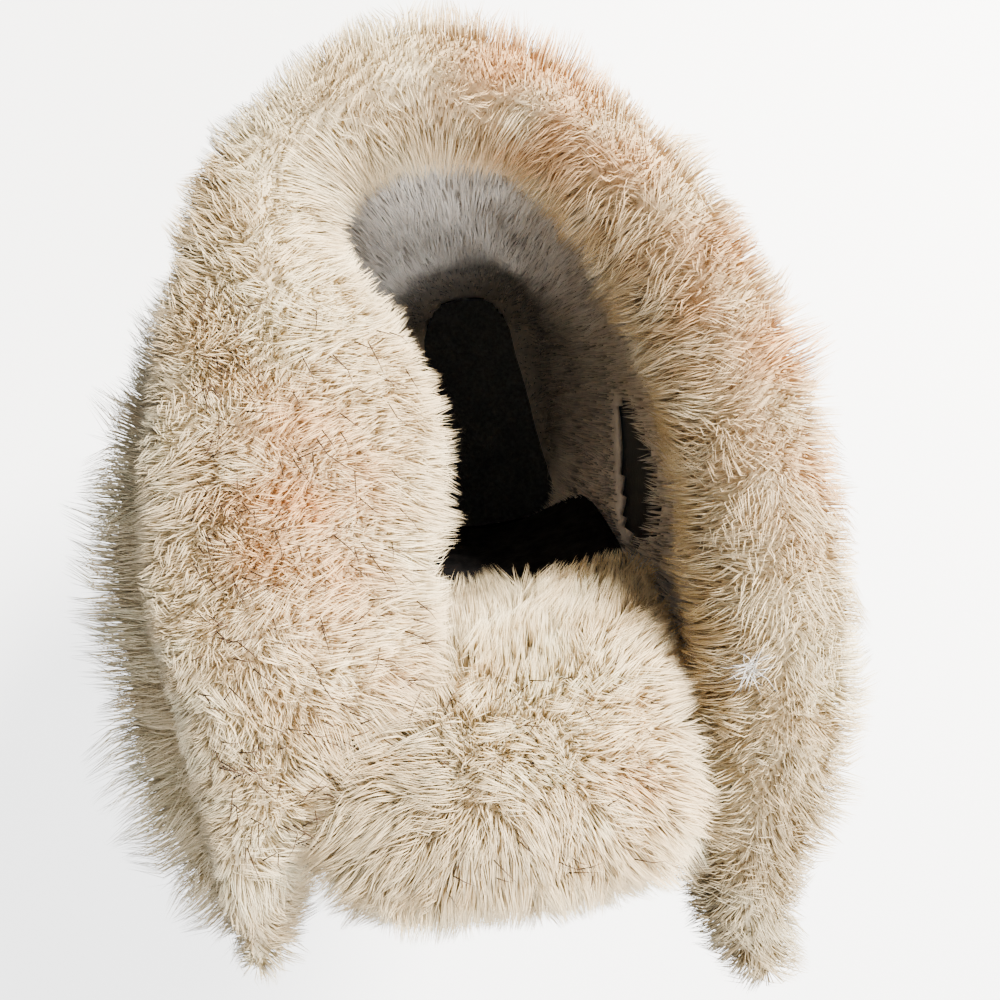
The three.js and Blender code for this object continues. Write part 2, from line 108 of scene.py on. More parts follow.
def new_piece(name, points, faces, finish, smooth=True):
    """A mesh object at the origin from points in millimetres and faces of three or four corners."""
    points, faces = np.asarray(points, float).reshape(-1, 3), np.asarray(faces, np.int32)
    corners = faces.shape[1]
    mesh = bpy.data.meshes.new(name)
    mesh.vertices.add(len(points))
    mesh.vertices.foreach_set("co", (points * MM).astype(np.float32).ravel())
    mesh.loops.add(faces.size)
    mesh.loops.foreach_set("vertex_index", faces.ravel())
    mesh.polygons.add(len(faces))
    mesh.polygons.foreach_set("loop_start", np.arange(0, faces.size, corners, dtype=np.int32))
    mesh.polygons.foreach_set("use_smooth", np.full(len(faces), smooth))
    mesh.update(calc_edges=True)
    mesh.materials.append(finish)
    piece = bpy.data.objects.new(name, mesh)
    bpy.context.scene.collection.objects.link(piece)
    return piece


floor_finish = new_finish("pale_floor", 0.9, 0.1)
shader_of(floor_finish).inputs["Base Color"].default_value = (*FLOOR_COLOUR, 1)
shader_of(floor_finish).inputs["Emission Color"].default_value = (*FLOOR_COLOUR, 1)
shader_of(floor_finish).inputs["Emission Strength"].default_value = FLOOR_GLOW
reach = FLOOR_SIDE / 2
floor_points = [(-reach, -reach, 0), (reach, -reach, 0), (reach, reach, 0), (-reach, reach, 0)]
floor = new_piece("floor", floor_points, [(0, 1, 2, 3)], floor_finish)
floor.visible_diffuse = False  # it only shows white, and doesn't light the boot

# The outsole is one moulding of black rubber: a cup that the upper is lasted into, with a stepped side wall,
# chevron lugs, a heel and an arch. It is the frame's own solid, merged and with its moulded edges rounded.
RUBBER_DARK, RUBBER_WORN = (0.012, 0.012, 0.013), (0.045, 0.044, 0.043)
MOULD_ROUND = 0.5


def texture(finish, kind, **inputs):
    """A texture node on the piece's Object coordinates, with its inputs set by name."""
    nodes, links = finish.node_tree.nodes, finish.node_tree.links
    place = nodes.get("Texture Coordinate") or nodes.new("ShaderNodeTexCoord")
    made = nodes.new(kind)
    links.new(place.outputs["Object"], made.inputs["Vector"])
    for key, value in inputs.items():
        made.inputs[key.replace("_", " ")].default_value = value
    return made


def colour_between(finish, amount, stops):
    """Runs an amount from 0 to 1 through a ramp of two (place, colour) stops into the base colour."""
    ramp = finish.node_tree.nodes.new("ShaderNodeValToRGB")
    for element, (place, colour) in zip(ramp.color_ramp.elements, stops):
        element.position, element.color = place, (*colour, 1)
    finish.node_tree.links.new(amount, ramp.inputs["Fac"])
    finish.node_tree.links.new(ramp.outputs["Color"], shader_of(finish).inputs["Base Color"])


def relief(finish, height, strength, distance):
    """Adds a bump of a height socket, distance in millimetres, on top of any bump that is there."""
    bump = finish.node_tree.nodes.new("ShaderNodeBump")
    bump.inputs["Strength"].default_value = strength
    bump.inputs["Distance"].default_value = distance * MM
    normal = shader_of(finish).inputs["Normal"]
    if normal.is_linked:
        finish.node_tree.links.new(normal.links[0].from_socket, bump.inputs["Normal"])
    finish.node_tree.links.new(height, bump.inputs["Height"])
    finish.node_tree.links.new(bump.outputs["Normal"], normal)


rubber = new_finish("moulded_rubber", 0.62, 0.4)
worn = texture(rubber, "ShaderNodeTexNoise", Scale=60.0, Detail=6.0, Roughness=0.65)
colour_between(rubber, worn.outputs["Fac"], ((0.45, RUBBER_DARK), (0.75, RUBBER_WORN)))
relief(rubber, texture(rubber, "ShaderNodeTexNoise", Scale=900.0, Detail=3.0).outputs["Fac"], 0.5, 0.25)
relief(rubber, worn.outputs["Fac"], 0.3, 0.5)

work = bmesh.new()
work.from_mesh(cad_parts["outsole"].data)
bmesh.ops.remove_doubles(work, verts=work.verts, dist=0.01 * MM)
bmesh.ops.dissolve_limit(work, angle_limit=math.radians(0.5), verts=work.verts, edges=work.edges)
outsole_mesh = bpy.data.meshes.new("outsole_rubber")
work.to_mesh(outsole_mesh)
work.free()
outsole_mesh.materials.append(rubber)
outsole_mesh.polygons.foreach_set("use_smooth", np.full(len(outsole_mesh.polygons), True))
outsole = bpy.data.objects.new("outsole_rubber", outsole_mesh)
bpy.context.scene.collection.objects.link(outsole)
rounding = outsole.modifiers.new("moulded_edges", "BEVEL")
rounding.width, rounding.segments = MOULD_ROUND * MM, 2
rounding.limit_method, rounding.angle_limit = "ANGLE", math.radians(35)
rounding.harden_normals = True
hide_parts("outsole")
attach(outsole, "root")

# The insole is a cut footbed of black felted board, laid on the turned-in margin of the upper.
# It is the frame's own flat solid, with a felt finish.
FELT_DARK, FELT_LIGHT = (0.10, 0.10, 0.105), (0.22, 0.22, 0.23)
footbed = new_finish("felt_footbed", 0.95, 0.1)
felt = texture(footbed, "ShaderNodeTexNoise", Scale=700.0, Detail=5.0, Roughness=0.7)
colour_between(footbed, felt.outputs["Fac"], ((0.35, FELT_DARK), (0.75, FELT_LIGHT)))
relief(footbed, felt.outputs["Fac"], 0.7, 0.4)
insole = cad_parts["insole"]
insole.data.materials.clear()
insole.data.materials.append(footbed)

# The upper is one shell of dark suede, lasted over the foot and carried up the leg, with a V throat in front.
# It follows the last: each section runs from the sole or back line to the vamp or front line.
HEEL_BACK_Y, TOE_TIP_Y = 46.0, -232.0
HEEL_ROUND_FROM, TOE_ROUND_FROM, TOE_ROUNDNESS = 8.0, -178.0, 2.3
LAST_LENGTH_SHARE, LAST_WIDTH_SHARE = 0.962, 0.9
MIDDLE_Y = (HEEL_BACK_Y + TOE_TIP_Y) / 2
RIM_Z, WALL = 262.0, 2.5
LASTING_MARGIN = 9.0
SOLE_PLAN = (  # y, centre, half width
    (46, 0, 36), (8, 0, 37), (-30, 1.5, 36.5), (-70, 5, 38.5),
    (-110, 6, 44), (-150, 3, 50.5), (-185, -2, 49.5), (-232, -10, 43),
)
FEATHER = ((46, 35), (-15, 34), (-75, 26), (-135, 21), (-180, 22), (-232, 30))  # y, z
FOOT_SECTIONS = (  # back y, front y, front z, bulge, widest at, low square, top square; toe to heel
    (-226, -226, 52, 0, 0.45, 4, 2), (-221, -220, 63, 0, 0.4, 5, 2),
    (-208, -205, 73, 0, 0.36, 7, 2.2), (-182, -176, 80, 0, 0.34, 8, 2.3),
    (-150, -140, 91, 0, 0.36, 8, 2.3), (-112, -110, 110, 1, 0.42, 7, 2.4),
    (-72, -97, 129, 3, 0.48, 5.5, 2.5), (-32, -90, 146, 4.5, 0.5, 4.5, 2.5),
    (6, -87, 158, 4.5, 0.5, 3.4, 2.5),
)
SHAFT_SECTIONS = (  # back y, back z, front y, front z, half width, widest at, low square, top square
    (32, 36, -87, 169, 39, 0.5, 2.4, 2.4), (42, 66, -89, 180, 42, 0.5, 2.1, 2.3),
    (39, 108, -93, 192, 47, 0.5, 2.1, 2.2), (37, 158, -104, 208, 54, 0.5, 2.1, 2.1),
    (38, 208, -124, 230, 62, 0.55, 2.05, 2.1), (41, RIM_Z, -158, RIM_Z, 71, 0.6, 2, 2.2),
)
THROAT_BOTTOM_Z, THROAT_HALF_BOTTOM, THROAT_HALF_TOP = 152.0, 5.0, 50.0
TOE_SECTIONS = 4
CREASES = (  # y and z of the middle on the front line, half length round it, width, depth
    (-118, 102, 1.5, 6, 1.3), (-106, 113, 1.7, 6, 1.7), (-97, 126, 1.6, 6, 1.6), (-160, 84, 1.2, 7, 0.8),
)
CREASE_UP, CREASE_BACK = 0.8, -0.6  # a trough sinks by these shares, down and to the back
TOE_RINGS, TOE_REACH = (0.0, 0.4, 0.75), 2.5  # sizes of the rings that close the toe, and their reach
SUEDE_DARK, SUEDE_LIGHT = (0.010, 0.009, 0.0085), (0.040, 0.034, 0.030)


def through(table, place):
    """The columns of a table at places in row numbers, on a Catmull-Rom curve through its rows."""
    rows, place = np.asarray(table, float), np.asarray(place, float)
    last = len(rows) - 1
    row = np.clip(np.floor(place).astype(int), 0, last - 1)
    a, b, c, d = (rows[np.clip(row + k, 0, last)] for k in (-1, 0, 1, 2))
    f = (place - row)[..., None]
    return b + f / 2 * (c - a + f * (2 * a - 5 * b + 4 * c - d + f * (3 * (b - c) + d - a)))


def along_foot(table, y):
    """The columns of a table whose first column is y, at any y."""
    rows = np.asarray(table, float)
    return through(rows, np.interp(-np.asarray(y, float), -rows[:, 0], np.arange(len(rows))))


def sole_half(y):
    """Half width of the sole: the plan's, rounded off as a circle at the heel and a superellipse at the toe."""
    heel = np.clip((y - HEEL_ROUND_FROM) / (HEEL_BACK_Y - HEEL_ROUND_FROM), 0, 1)
    toe = np.clip((TOE_ROUND_FROM - y) / (TOE_ROUND_FROM - TOE_TIP_Y), 0, 1)
    toe_round = (1 - toe**TOE_ROUNDNESS) ** (1 / TOE_ROUNDNESS)
    return along_foot(SOLE_PLAN, y)[..., 2] * np.sqrt(1 - heel**2) * toe_round


def last_half(y):
    """Half width of the last: the sole's, drawn in by one share in length and another in width."""
    return LAST_WIDTH_SHARE * sole_half(MIDDLE_Y + (np.asarray(y, float) - MIDDLE_Y) / LAST_LENGTH_SHARE)


foot = np.array(FOOT_SECTIONS, float)
foot_columns = (
    foot[:, 0], along_foot(FEATHER, foot[:, 0])[:, 1], foot[:, 1], foot[:, 2],
    along_foot(SOLE_PLAN, foot[:, 0])[:, 1], last_half(foot[:, 0]) + foot[:, 3], *foot[:, 4:].T,
)
shaft = np.array(SHAFT_SECTIONS, float)
LAST = np.vstack([np.stack(foot_columns, 1), np.insert(shaft, 4, 0.0, axis=1)])
RIM = len(LAST) - 1


def last_point(place, turn, out=0.0):
    """A point of the upper: place is the section in row numbers, and turn goes round it from its sole or back
    end, along two half superellipses that meet where the section is widest. out moves it off the last."""
    place, turn = np.broadcast_arrays(np.asarray(place, float), np.asarray(turn, float))
    back_y, back_z, front_y, front_z, centre, half, widest, low, top = np.moveaxis(through(LAST, place), -1, 0)
    tall = np.hypot(front_y - back_y, front_z - back_z)
    rise_y, rise_z = (front_y - back_y) / tall, (front_z - back_z) / tall
    power = 2 / np.where(np.cos(turn) > 0, low, top)
    reach = np.abs(np.cos(turn)) ** power
    share = np.where(np.cos(turn) > 0, widest * (1 - reach), widest + (1 - widest) * reach)
    across = np.sign(np.sin(turn)) * np.abs(np.sin(turn)) ** power
    up = share * (tall + 2 * out) - out
    toe_shift = -out * np.clip(1 - place / TOE_SECTIONS, 0, 1)
    x, y, z = centre + across * (half + out), back_y + toe_shift + up * rise_y, back_z + up * rise_z
    return np.stack([x, y, z], -1)


def throat_half(z):
    """Half width of the V throat at a height, with a round foot, and -1 below it."""
    slope = (THROAT_HALF_TOP - THROAT_HALF_BOTTOM) / (RIM_Z - THROAT_BOTTOM_Z)
    below = THROAT_HALF_BOTTOM**2 - np.minimum(z - THROAT_BOTTOM_Z, 0) ** 2
    half = np.sqrt(np.maximum(below, 0)) + slope * np.maximum(z - THROAT_BOTTOM_Z, 0)
    return np.where(below > 0, half, -1.0)


def throat_edge(place, out=0.0):
    """The turn where a section meets the throat, by halving, and half a turn where the section is whole."""
    inside, outside = np.full(np.shape(place), math.pi / 2), np.full(np.shape(place), math.pi)
    open_front = throat_half(last_point(place, outside, out)[..., 2]) > 0
    for _ in range(30):
        middle = (inside + outside) / 2
        point = last_point(place, middle, out)
        clear = np.abs(point[..., 0]) > throat_half(point[..., 2])
        inside, outside = np.where(clear, middle, inside), np.where(clear, outside, middle)
    return np.where(open_front, inside, math.pi)


def grid_faces(rows, columns, wrap=False):
    """Quads of a grid of points in row order, closed round the columns with wrap."""
    row, column = np.meshgrid(np.arange(rows - 1), np.arange(columns if wrap else columns - 1), indexing="ij")
    following = (column + 1) % columns
    corners = (row * columns + column, row * columns + following,
               (row + 1) * columns + following, (row + 1) * columns + column)
    return np.stack([c.ravel() for c in corners], 1)


def welded(piece, faces_out=True):
    """Merges the points of a piece that lie on each other, and drops faces that have no area."""
    work = bmesh.new()
    work.from_mesh(piece.data)
    bmesh.ops.remove_doubles(work, verts=work.verts, dist=0.02 * MM)
    bmesh.ops.dissolve_degenerate(work, edges=work.edges, dist=0.01 * MM)
    if faces_out:
        bmesh.ops.recalc_face_normals(work, faces=work.faces)
    work.to_mesh(piece.data)
    work.free()


def shell_grid(rows, columns, out, creased):
    """Points of the upper's shell from the toe to the rim, at a distance out from the last. The toe's first
    section is drawn together to a pole, and creases are soft troughs between low ridges across the instep."""
    place = np.linspace(0, RIM, rows)[:, None]
    edge = throat_edge(place, out)
    points = last_point(place, np.linspace(-1, 1, columns)[None, :] * edge, out)
    if creased:
        for y, z, half_round, width, depth in CREASES:
            off_front = np.abs(np.arctan2(points[..., 0], 30.0)) / half_round
            away = np.hypot(points[..., 1] - y, points[..., 2] - z) * np.sign(points[..., 2] - z)
            wave = (away / width) ** 2
            trough = depth * (0.5 * wave - 1) * np.exp(-wave) * np.exp(-(off_front * 2) ** 2)
            points[..., 2] += CREASE_UP * trough
            points[..., 1] += CREASE_BACK * trough
    share = np.array(TOE_RINGS)[:, None, None]
    toe_middle = points[:1].mean(1, keepdims=True)
    toe = toe_middle + share * (points[:1] - toe_middle)
    toe[..., 1] -= TOE_REACH * np.sqrt(1 - share[..., 0] ** 2)
    return np.concatenate([toe, points])


suede = new_finish("dark_suede", 0.95, 0.15)
shader_of(suede).inputs["Sheen Weight"].default_value = 0.25
shader_of(suede).inputs["Sheen Roughness"].default_value = 0.5
nap = texture(suede, "ShaderNodeTexNoise", Scale=45.0, Detail=8.0, Roughness=0.7, Distortion=0.6)
colour_between(suede, nap.outputs["Fac"], ((0.3, SUEDE_DARK), (0.72, SUEDE_LIGHT)))
relief(suede, texture(suede, "ShaderNodeTexNoise", Scale=1500.0, Detail=4.0).outputs["Fac"], 0.6, 0.3)
relief(suede, nap.outputs["Fac"], 0.25, 0.6)

UPPER_ROWS, UPPER_COLUMNS = 120, 84
upper_points = shell_grid(UPPER_ROWS, UPPER_COLUMNS, 0.0, True)
upper_faces = grid_faces(len(upper_points), UPPER_COLUMNS)
upper_middles = upper_points.reshape(-1, 3)[upper_faces].mean(1)
under = upper_middles[:, 2] < along_foot(FEATHER, upper_middles[:, 1])[:, 1] + 1
off_line = np.abs(upper_middles[:, 0] - along_foot(SOLE_PLAN, upper_middles[:, 1])[:, 1])
hole = under & (off_line < last_half(upper_middles[:, 1]) - WALL - LASTING_MARGIN)
upper = new_piece("upper_suede", upper_points, upper_faces[~hole], suede)
welded(upper)
wall = upper.modifiers.new("suede_wall", "SOLIDIFY")
wall.thickness, wall.offset = WALL * MM, -1
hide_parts("upper")
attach(upper, "root")

# The lining is cream fleece, glued to the inside of the shell from the rim down to the footbed. On the outer
# side its seam has come open, and the dark backing shows in the slit.
FLEECE_THICK, FLEECE_GAP = 1.5, 0.4
FOOTBED_TOP = WALL + 0.3 + 4.0  # above the feather line
LINING_ROWS, LINING_COLUMNS = 130, 110
SLIT_FROM, SLIT_TO, SLIT_HALF = np.array([-31.0, 174.0]), np.array([-78.0, 209.0]), 8.5  # y and z, outer side
FUR_CREAM, FUR_PALE, FUR_WARM = (0.76, 0.58, 0.34), (0.91, 0.78, 0.52), (0.72, 0.35, 0.12)
FUR_SHADE_GREY, FUR_FLEECE = (0.52, 0.49, 0.37), (0.84, 0.76, 0.66)
WARM_PATCHES = (  # x, y, z of the middle, reach, strength
    (21, 31, 272, 18, 0.8), (42, 23, 271, 17, 0.75), (59, -12, 271, 17, 0.65), (72, -34, 270, 15, 0.75),
    (80, -60, 266, 18, 0.7), (-36, -43, 284, 17, 0.95), (-37, -62, 284, 17, 0.85), (29, -124, 272, 14, 0.35),
    (-24, -96, 276, 14, 0.4),
)
SHADE_GREY_FROM, SHADE_GREY_TO, SHADE_GREY_SHARE = -78.0, -98.0, 0.3  # painted shade: the inner side of the skirt turns greyer between these x, where it lies in shade


def ripple(points, wave, seed):
    """Smooth unevenness from about -1 to 1: the mean of waves of about one length in seven directions."""
    rng = np.random.default_rng(seed)
    ways = rng.normal(size=(7, 3))
    ways *= 2 * math.pi / (wave * rng.uniform(0.7, 1.4, (7, 1)) * np.linalg.norm(ways, axis=1, keepdims=True))
    return 1.8 * np.sin(points @ ways.T + rng.uniform(0, 2 * math.pi, 7)).mean(-1)


def mixed(low, high, amount):
    """One colour turned into another by an amount from 0 to 1 at each point."""
    return np.asarray(low) + (np.asarray(high) - np.asarray(low)) * np.asarray(amount)[..., None]


def fur_tint(points, u=None, v=None):
    """Colour of the fur at points: cream to pale by soft unevenness, warm in patches, painted shade grey on the
    far skirt.
    """
    pale = np.clip(0.5 + 0.3 * ripple(points, 34, 5) + 0.3 * ripple(points, 11, 7), 0, 1)
    tint = mixed(FUR_CREAM, FUR_PALE, pale)
    for x, y, z, reach, strength in WARM_PATCHES:
        near = np.exp(-(((points - (x, y, z)) / reach) ** 2).sum(-1))
        patchy = np.clip(0.7 + 0.5 * ripple(points, 12, 6), 0, 1)
        tint = mixed(tint, FUR_WARM, strength * near * patchy)
    # painted shade: the far skirt is greyed
    far = np.clip((points[..., 0] - SHADE_GREY_FROM) / (SHADE_GREY_TO - SHADE_GREY_FROM), 0, 1)
    return mixed(tint, FUR_SHADE_GREY, SHADE_GREY_SHARE * far)


def fleece_tint(points, u=None, v=None):
    """Colour of the lining: paler and greyer than the fur, with soft unevenness."""
    return np.asarray(FUR_FLEECE) * (1 + 0.06 * ripple(points, 14, 8))[..., None]


def unit(vectors):
    """Vectors brought to length one."""
    return vectors / np.maximum(np.linalg.norm(vectors, axis=-1, keepdims=True), 1e-9)


def paint(piece, tints):
    """Stores a colour for each point of a piece, which its finish reads as tint."""
    values = np.ones((len(piece.data.vertices), 4), np.float32)
    values[:, :3] = np.clip(tints, 0, 0.95)
    piece.data.color_attributes.new("tint", "FLOAT_COLOR", "POINT").data.foreach_set("color", values.ravel())


def tinted_finish(name, roughness):
    """A finish whose base colour is the piece's own tint."""
    made = new_finish(name, roughness, 0.15)
    tint = made.node_tree.nodes.new("ShaderNodeAttribute")
    tint.attribute_name = "tint"
    made.node_tree.links.new(tint.outputs["Color"], shader_of(made).inputs["Base Color"])
    return made


fleece = tinted_finish("fleece_ground", 0.95)
fuzz = texture(fleece, "ShaderNodeTexNoise", Scale=500.0, Detail=5.0, Roughness=0.7)
relief(fleece, fuzz.outputs["Fac"], 0.9, 1.2)
fur = tinted_finish("fur_strands", 0.8)


def nearest_of(points, heads):
    """For each point the number of the nearest head, in blocks to save memory."""
    heads = heads.astype(np.float32)
    square = (heads**2).sum(1)
    blocks = np.array_split(points.astype(np.float32), max(1, len(points) // 2500))
    return np.concatenate([np.argmin(square - 2 * block @ heads.T, axis=1) for block in blocks])


BENT_FACES = np.array([
    (0, 1, 4), (0, 4, 3), (1, 2, 5), (1, 5, 4), (2, 0, 3),
    (2, 3, 5), (3, 4, 6), (4, 5, 6), (5, 3, 6), (0, 2, 1),
])
BENT_MAP = np.array([  # place of each corner of those faces in the strand's own cell of the map
    ((0, 1), (3, 1), (3, 5)), ((0, 1), (3, 5), (0, 5)), ((3, 1), (6, 1), (6, 5)), ((3, 1), (6, 5), (3, 5)),
    ((6, 1), (9, 1), (9, 5)), ((6, 1), (9, 5), (6, 5)), ((0, 5), (3, 5), (1, 9)), ((3, 5), (6, 5), (4, 9)),
    ((6, 5), (9, 5), (8, 9)), ((0, 0), (4, 0), (2, 1)),
]) / 10.0
STRAIGHT_FACES = np.array([(0, 1, 3), (1, 2, 3), (2, 0, 3), (0, 2, 1)])
STRAIGHT_MAP = np.array([
    ((0, 1), (3, 1), (1, 9)), ((3, 1), (6, 1), (4, 9)), ((6, 1), (9, 1), (8, 9)), ((0, 0), (4, 0), (2, 1)),
]) / 10.0
# painted shade and light along each hair: darker at the root, lighter at the tip
PAINTED_SHADE_ALONG_HAIR = {"root": 0.5, "middle": 0.88, "tip": 1.1}
TAPER = 0.75  # a bent strand's thickness at its middle, as a share of that at its root
SWIRLS = ((0.55, 45), (0.35, 22))  # strength and length of the swirls along a surface and across it
ROOTED = 0.6  # how far a root is sunk into the skin
SPREAD_ROWS, SPREAD_COLUMNS, SLOPE_STEP = 300, 160, 1e-3


def strand_piece(name, root, middle, tip, radius, tint, finish):
    """Closed tapered hairs, each with three sides from a small root triangle to its tip. With middle they bend
    there, and with None they are straight. Each hair has a cell of its own in the map OFBake."""
    count = len(root)
    axis = unit((tip if middle is None else middle) - root)
    first = unit(np.cross(axis, np.array([0.31, 0.52, 0.79])))
    second = np.cross(axis, first)
    turn = np.arange(3) * 2 * math.pi / 3
    ring = np.cos(turn)[None, :, None] * first[:, None] + np.sin(turn)[None, :, None] * second[:, None]
    radius = np.broadcast_to(radius, (count,))[:, None, None]
    # each hair is painted darker at its root and lighter at its tip, as shade and light in the fur
    parts, shade = [root[:, None] + radius * ring], [PAINTED_SHADE_ALONG_HAIR["root"]] * 3
    if middle is not None:
        parts.append(middle[:, None] + TAPER * radius * ring)
        shade += [PAINTED_SHADE_ALONG_HAIR["middle"]] * 3
    parts.append(tip[:, None])
    shade.append(PAINTED_SHADE_ALONG_HAIR["tip"])
    points = np.concatenate(parts, 1)
    template, cells = (STRAIGHT_FACES, STRAIGHT_MAP) if middle is None else (BENT_FACES, BENT_MAP)
    faces = template[None] + points.shape[1] * np.arange(count)[:, None, None]
    piece = new_piece(name, points, faces.reshape(-1, 3), finish)
    paint(piece, (tint[:, None] * np.array(shade)[None, :, None]).reshape(-1, 3))
    side = math.ceil(math.sqrt(count))
    corner = np.stack([np.arange(count) % side, np.arange(count) // side], 1)[:, None, None]
    layer = piece.data.uv_layers.new(name="OFBake")
    layer.data.foreach_set("uv", ((corner + cells[None]) / side).astype(np.float32).ravel())
    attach(piece, "root")
    return piece


def coat(name, surface, region, count, length, radius, lean, rise, locks, density=None, shorter=None, flip=1,
         seed=1, bent=True, colour=fur_tint):
    """Fur on a surface of two parameters. Hairs are spread evenly over a region, or by a density, and lean as
    a field of vectors says, with soft swirls. shorter gives a share of the length at each root. locks gives
    sizes and pulls: hairs are drawn to the tip of the nearest head, so that they form locks within locks. flip
    turns the normals round."""
    rng = np.random.default_rng(seed)
    (u0, u1), (v0, v1) = region
    width, height = (u1 - u0) / SPREAD_ROWS, (v1 - v0) / SPREAD_COLUMNS

    def slopes(u, v):
        along = (surface(u + SLOPE_STEP, v) - surface(u - SLOPE_STEP, v)) / (2 * SLOPE_STEP)
        across = (surface(u, v + SLOPE_STEP) - surface(u, v - SLOPE_STEP)) / (2 * SLOPE_STEP)
        return along, across, np.cross(along, across)

    cell_rows, cell_columns = np.arange(SPREAD_ROWS) + 0.5, np.arange(SPREAD_COLUMNS) + 0.5
    u, v = np.meshgrid(u0 + width * cell_rows, v0 + height * cell_columns, indexing="ij")
    area = np.linalg.norm(slopes(u, v)[2], axis=-1) * width * height
    weight = area * (1 if density is None else density(surface(u, v)))
    spread = np.cumsum(weight.ravel()) / weight.sum()
    cell = np.searchsorted(spread, (np.arange(count) + rng.random(count)) / count).clip(0, weight.size - 1)
    u = u.ravel()[cell] + (rng.random(count) - 0.5) * width
    v = v.ravel()[cell] + (rng.random(count) - 0.5) * height
    root = surface(u, v)
    along, across, normal = slopes(u, v)
    normal = flip * unit(normal)
    way = lean(root, u, v, unit(along), unit(across))
    for number, ((strength, wave), side) in enumerate(zip(SWIRLS, (along, across)), 1):
        way = way + strength * ripple(root, wave, seed + number)[:, None] * unit(side)
    way -= (way * normal).sum(1, keepdims=True) * normal
    long = length * (0.6 + 0.5 * rng.random(count)) * (1 + 0.2 * ripple(root, 16, seed + 3))
    long = long * (1 if shorter is None else shorter(root, u, v))
    end = unit(rise * normal + way + rng.normal(scale=0.3, size=(count, 3)))
    start = unit((rise + 0.7) * normal + 0.5 * way)
    middle = root + 0.5 * long[:, None] * start
    tip = middle + 0.55 * long[:, None] * end
    for size, pull in locks:
        heads = rng.choice(count, max(1, min(count, int(area.sum() / size**2))), replace=False)
        head = heads[nearest_of(root, root[heads])]
        apart = root - root[head]
        middle = middle + 0.4 * pull * (middle[head] + 0.8 * apart - middle)
        tip = tip + pull * (tip[head] + 0.35 * apart - tip)
    thick = radius * (0.75 + 0.5 * rng.random(count))
    tint = colour(root, u, v) * (0.88 + 0.2 * rng.random(count))[:, None]
    return strand_piece(name, root - ROOTED * normal, middle if bent else None, tip, thick, tint, fur)


def slit_off(points):
    """Distance of points on the outer wall from the slit, in half widths of the slit there."""
    run = SLIT_TO - SLIT_FROM
    flat = points[..., 1:] - SLIT_FROM
    share = np.clip((flat @ run) / (run @ run), 0, 1)
    away = np.linalg.norm(flat - share[..., None] * run, axis=-1)
    half = SLIT_HALF * np.sqrt(np.maximum(1 - (2 * share - 1) ** 2, 1e-4))
    return np.where(points[..., 0] > 0, away / half, 99.0)


def lining_point(u, v):
    """The lining's face: u from the toe to the rim and v round each section from one edge of the throat."""
    place = np.asarray(u) * RIM
    out = -WALL - FLEECE_GAP - FLEECE_THICK
    return last_point(place, (2 * np.asarray(v) - 1) * throat_edge(place, out), out)


def above_footbed(points):
    """Height of points above the footbed's top."""
    return points[..., 2] - along_foot(FEATHER, points[..., 1])[..., 1] - FOOTBED_TOP


lining_points = shell_grid(LINING_ROWS, LINING_COLUMNS, -WALL - FLEECE_GAP, False)
lining_faces = grid_faces(len(lining_points), LINING_COLUMNS)
lining_middles = lining_points.reshape(-1, 3)[lining_faces].mean(1)
kept = (above_footbed(lining_middles) > -1) & (slit_off(lining_middles) > 1)
lining = new_piece("lining_fleece", lining_points, lining_faces[kept], fleece)
welded(lining)
lining_at = np.empty(len(lining.data.vertices) * 3, np.float32)
lining.data.vertices.foreach_get("co", lining_at)
paint(lining, fleece_tint(lining_at.reshape(-1, 3) / MM))
pad = lining.modifiers.new("fleece_thickness", "SOLIDIFY")
pad.thickness, pad.offset = FLEECE_THICK * MM, -1
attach(lining, "root")


def lining_density(points):
    """Most hairs are on the shaft, fewer in the foot, and none under the footbed or in the slit."""
    high = 0.15 + 0.85 * np.clip((points[..., 2] - 60) / 80, 0, 1)
    return np.where((above_footbed(points) > 3) & (slit_off(points) > 1.03), high, 0)


def lining_short(root, u, v):
    """The pile is worn short in the foot and by the slit."""
    return np.clip((root[:, 2] - 20) / 130, 0.35, 1) * np.clip(slit_off(root) / 3, 0.55, 1)


def lining_lean(root, u, v, along, across):
    """The pile is trodden down, and a little to the heel."""
    return np.array([0.0, 0.1, -0.8]) + 0 * root


coat("lining_pile", lining_point, ((0.02, 0.985), (0.01, 0.99)), 24000, 8.5, 0.29, lining_lean, 0.75,
     ((9, 0.45), (3.5, 0.5)), lining_density, lining_short, flip=-1, seed=11, bent=False, colour=fleece_tint)

# The cuff is a deep fold of sheepskin over the rim, open in front. Its roll lies on the rim, wide on the
# inner side, with a crease under it, and its skirt hangs outside. The skin is one closed form with fur on it.
CUFF = (  # turn from the back, roll in, roll up, roll out, crease, skirt, drop, forward, aside, sink
    (142, 8, 5, 8, 8, 10, 44, 34, 6, 10), (128, 14, 9, 9, 9, 12, 52, 12, 2, 3),
    (80, 16, 11, 8, 6, 10, 58, 0, 0, 0), (35, 10, 10, 6, 4, 8, 60, 0, 0, 0),
    (-5, 9, 10, 9, 6, 11, 60, 0, 0, 0), (-33, 12, 11, 8, 6, 13, 60, 0, 0, 0),
    (-52, 44, 13, 5, 5, 18, 62, 0, 0, 0), (-80, 54, 15, 3, 4, 34, 62, 0, 0, 0),
    (-108, 46, 15, 2, 4, 43, 60, 0, 0, 0), (-128, 20, 11, 2, 4, 42, 56, 8, 12, 5),
    (-142, 5, 4, 4, 5, 30, 50, 20, 26, 16),
)
CUFF_ROW_DROP, CUFF_LINED = 52.0, 28.0
CUFF_END, CUFF_END_REACH = 0.025, 7.0  # the rounded ends: share of the cuff's length, and reach
CUFF_ROWS, CUFF_COLUMNS = 170, 52
GROUND_SHADE = 0.8  # painted shade: the skin under the fur is darkened, as the shade under the hairs
ROUND = 2 * math.pi / 28  # step for the direction of the rim
